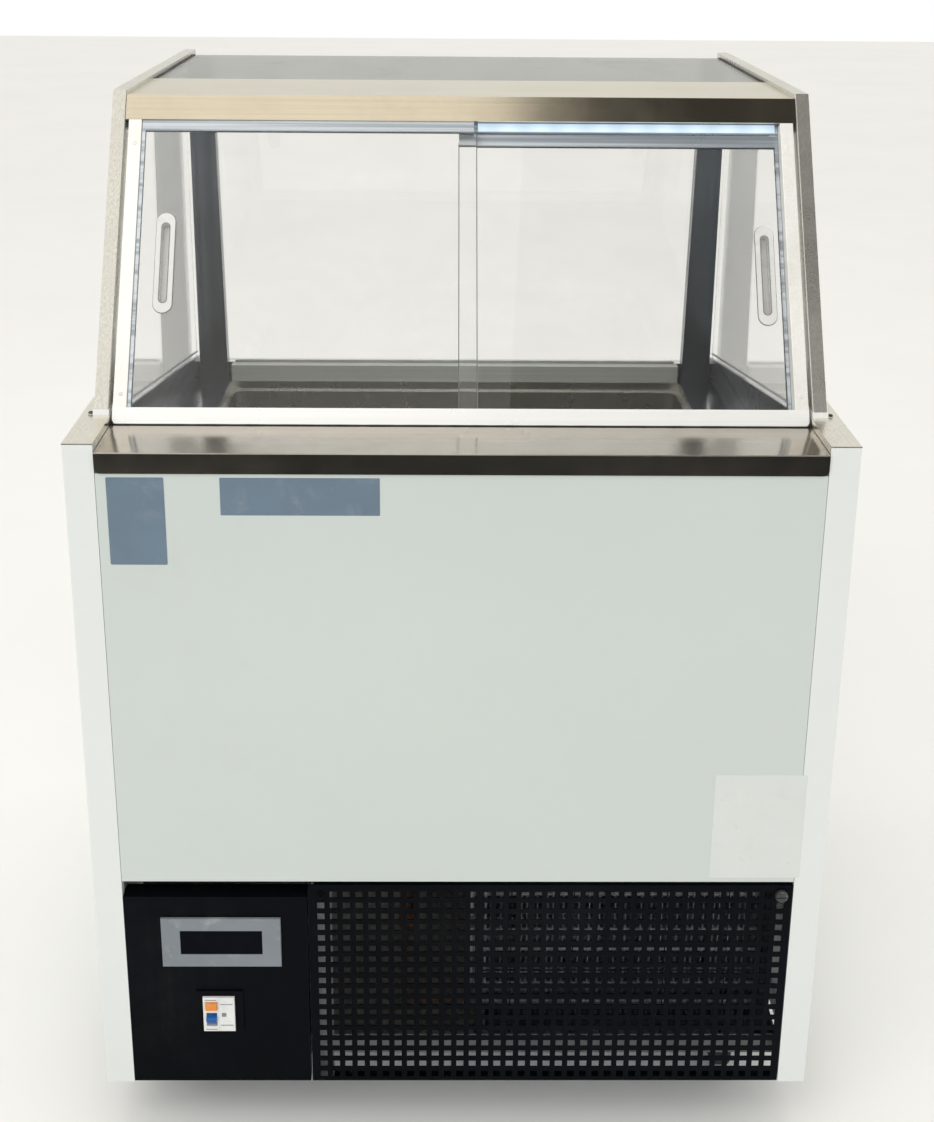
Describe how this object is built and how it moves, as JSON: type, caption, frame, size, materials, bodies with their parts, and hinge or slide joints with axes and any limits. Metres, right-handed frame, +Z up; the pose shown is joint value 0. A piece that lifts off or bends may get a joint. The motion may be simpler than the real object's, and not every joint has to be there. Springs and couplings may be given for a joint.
{
  "type": "chest freezer",
  "caption": "White scooping display chest freezer on castors: open well under a glazed hood with sliding glass doors, black perforated machine door and controls below.",
  "frame": {"origin": "floor level, in the middle of the whole object's footprint", "axes": "+Z up, +Y from the operator's face towards the customer, +X to the right of someone at the operator's face"},
  "size_m": [0.8, 0.7954, 1.166],
  "materials": {
    "white_paint": "gloss",
    "black_paint": "satin",
    "grey_paint": "satin",
    "stainless": "brushed",
    "mirror_stainless": "polished",
    "galvanised": "matt",
    "frame_aluminium": "satin",
    "fin_aluminium": "satin",
    "copper_tube": "satin",
    "clear_glass": "clear",
    "tinted_glass": "tinted",
    "foam": "cellular",
    "white_plastic": "gloss",
    "grey_plastic": "satin",
    "black_plastic": "satin",
    "display_dark": "gloss",
    "orange_plastic": "gloss",
    "blue_plastic": "gloss",
    "lamp_white": "milky",
    "filter_mesh": "matt",
    "tread_rubber": "matt",
    "motor_black": "satin"
  },
  "bodies": {
    "cabinet": {"base_frame": "galvanised", "side_panels": "white_paint", "side_caps": "stainless", "operator_panel": "white_paint", "customer_panel": "white_paint", "customer_vent_panel": "black_paint", "counter_tray": "stainless", "well_tank": "mirror_stainless", "deck_plate": "mirror_stainless", "chamber_linings": "mirror_stainless", "front_rim": "stainless", "insulation": "foam", "evaporator_coil": "copper_tube", "compressor": "motor_black", "condenser": "fin_aluminium", "fan_shroud": "galvanised", "fan_motor": "motor_black", "air_filter": "filter_mesh", "refrigerant_pipes": "copper_tube", "control_panel": "black_paint", "display_bezel": "grey_plastic", "display_window": "display_dark", "breaker_body": "white_plastic", "control_box": "grey_paint", "grille_hinges": "galvanised", "cord_inlet": "black_plastic", "side_frames": "frame_aluminium", "side_glasses": "clear_glass", "customer_glass": "clear_glass", "top_glass": "tinted_glass", "top_cover": "stainless", "front_posts": "mirror_stainless", "frame_feet": "white_plastic", "door_sill": "frame_aluminium", "door_header": "frame_aluminium", "door_jambs": "frame_aluminium", "lamp_housing": "frame_aluminium", "lamp_diffuser": "lamp_white", "castor_plates": "galvanised"},
    "door_left": {"door_left_glass": "clear_glass", "door_left_frame": "frame_aluminium", "door_left_handle": "frame_aluminium"},
    "door_right": {"door_right_glass": "clear_glass", "door_right_frame": "frame_aluminium", "door_right_handle": "frame_aluminium"},
    "grille": {"grille_door": "black_paint"},
    "knob": {"grille_knob": "grey_plastic"},
    "toggle": {"breaker_toggle": "blue_plastic"},
    "test_button": {"breaker_test_button": "orange_plastic"},
    "fan": {"condenser_fan": "fin_aluminium"},
    "swivel_operator_left": {"castor_fork_operator_left": "galvanised"},
    "wheel_operator_left": {"castor_wheel_operator_left": "tread_rubber"},
    "brake_operator_left": {"castor_brake_operator_left": "grey_plastic"},
    "swivel_operator_right": {"castor_fork_operator_right": "galvanised"},
    "wheel_operator_right": {"castor_wheel_operator_right": "tread_rubber"},
    "brake_operator_right": {"castor_brake_operator_right": "grey_plastic"},
    "swivel_customer_left": {"castor_fork_customer_left": "galvanised"},
    "wheel_customer_left": {"castor_wheel_customer_left": "tread_rubber"},
    "swivel_customer_right": {"castor_fork_customer_right": "galvanised"},
    "wheel_customer_right": {"castor_wheel_customer_right": "tread_rubber"}
  },
  "joints": [
    {"name": "door_left_slide", "type": "slide", "parent": "cabinet", "child": "door_left", "axis": [1, 0, 0], "range_m": [0, 0.33]},
    {"name": "door_right_slide", "type": "slide", "parent": "cabinet", "child": "door_right", "axis": [-1, 0, 0], "range_m": [0, 0.33]},
    {"name": "grille_hinge", "type": "hinge", "parent": "cabinet", "child": "grille", "pos_m": [-0.161, -0.38575, 0.207], "axis": [0, 0, -1], "range_deg": [0, 110]},
    {"name": "knob_turn", "type": "hinge", "parent": "grille", "child": "knob", "pos_m": [0.3559, -0.38925, 0.3255], "axis": [0, 1, 0], "range_deg": [0, 90]},
    {"name": "toggle_tilt", "type": "hinge", "parent": "cabinet", "child": "toggle", "pos_m": [-0.2764, -0.38625, 0.1645], "axis": [1, 0, 0], "range_deg": [0, 40]},
    {"name": "test_button_press", "type": "slide", "parent": "cabinet", "child": "test_button", "axis": [0, 1, 0], "range_m": [0, 0.002], "stiffness_N_per_m": 200, "springref_m": -0.002},
    {"name": "fan_spin", "type": "hinge", "parent": "cabinet", "child": "fan", "pos_m": [0.19, -0.24925, 0.214], "axis": [0, 1, 0], "continuous": true},
    {"name": "swivel_operator_left", "type": "hinge", "parent": "cabinet", "child": "swivel_operator_left", "pos_m": [-0.325, -0.28925, 0.088], "axis": [0, 0, 1], "continuous": true},
    {"name": "roll_operator_left", "type": "hinge", "parent": "swivel_operator_left", "child": "wheel_operator_left", "pos_m": [-0.325, -0.26525, 0.03], "axis": [1, 0, 0], "continuous": true},
    {"name": "brake_operator_left", "type": "hinge", "parent": "swivel_operator_left", "child": "brake_operator_left", "pos_m": [-0.325, -0.26725, 0.0745], "axis": [-1, 0, 0], "range_deg": [0, 30]},
    {"name": "swivel_operator_right", "type": "hinge", "parent": "cabinet", "child": "swivel_operator_right", "pos_m": [0.325, -0.28925, 0.088], "axis": [0, 0, 1], "continuous": true},
    {"name": "roll_operator_right", "type": "hinge", "parent": "swivel_operator_right", "child": "wheel_operator_right", "pos_m": [0.325, -0.26525, 0.03], "axis": [1, 0, 0], "continuous": true},
    {"name": "brake_operator_right", "type": "hinge", "parent": "swivel_operator_right", "child": "brake_operator_right", "pos_m": [0.325, -0.26725, 0.0745], "axis": [-1, 0, 0], "range_deg": [0, 30]},
    {"name": "swivel_customer_left", "type": "hinge", "parent": "cabinet", "child": "swivel_customer_left", "pos_m": [-0.325, 0.27275, 0.088], "axis": [0, 0, 1], "continuous": true},
    {"name": "roll_customer_left", "type": "hinge", "parent": "swivel_customer_left", "child": "wheel_customer_left", "pos_m": [-0.325, 0.29675, 0.03], "axis": [1, 0, 0], "continuous": true},
    {"name": "swivel_customer_right", "type": "hinge", "parent": "cabinet", "child": "swivel_customer_right", "pos_m": [0.325, 0.27275, 0.088], "axis": [0, 0, 1], "continuous": true},
    {"name": "roll_customer_right", "type": "hinge", "parent": "swivel_customer_right", "child": "wheel_customer_right", "pos_m": [0.325, 0.29675, 0.03], "axis": [1, 0, 0], "continuous": true}
  ]
}
